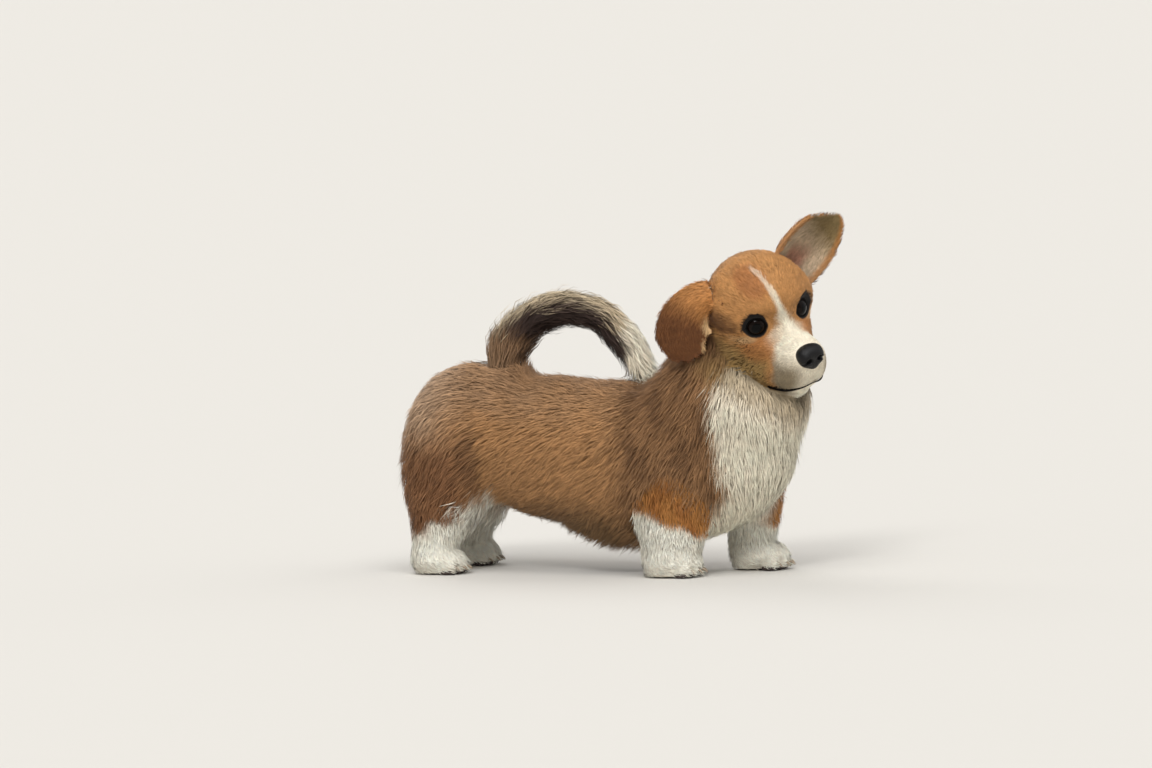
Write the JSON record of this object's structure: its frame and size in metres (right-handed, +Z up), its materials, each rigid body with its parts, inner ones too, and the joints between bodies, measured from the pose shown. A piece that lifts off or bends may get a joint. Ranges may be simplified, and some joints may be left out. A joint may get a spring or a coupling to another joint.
{
  "type": "pembroke welsh corgi puppy",
  "caption": "Standing fluffy puppy with short legs, a long body, a tail curled up over the back, and one ear up and one ear folded.",
  "frame": {"origin": "on the floor, at the middle of the bottom of the bounding box", "axes": "+X from the tail to the chest, +Y to the puppy's left, +Z up from the floor"},
  "size_m": [0.3878, 0.1192, 0.2926],
  "materials": {
    "coat_sable": "soft long fur in sable brown, streaked with paler tips",
    "coat_cream": "soft short fur in creamy white",
    "coat_dark": "long fur in blackish brown with a cream fringe",
    "coat_tan": "short smooth fur in warm tan",
    "nose_leather": "damp pebbled black nose leather",
    "eye": "wet dark brown eye"
  },
  "bodies": {
    "root": {"torso": "coat_sable", "neck": "coat_sable", "foreleg_right": "coat_cream", "foreleg_left": "coat_cream", "hindleg_right": "coat_cream", "hindleg_left": "coat_cream", "tail_base": "coat_dark", "tail_middle": "coat_dark", "tail_tip": "coat_dark", "head": "coat_tan", "nose": "nose_leather", "ear_left": "coat_tan", "ear_right": "coat_tan", "eye_left": "eye", "eye_right": "eye"}
  },
  "joints": []
}
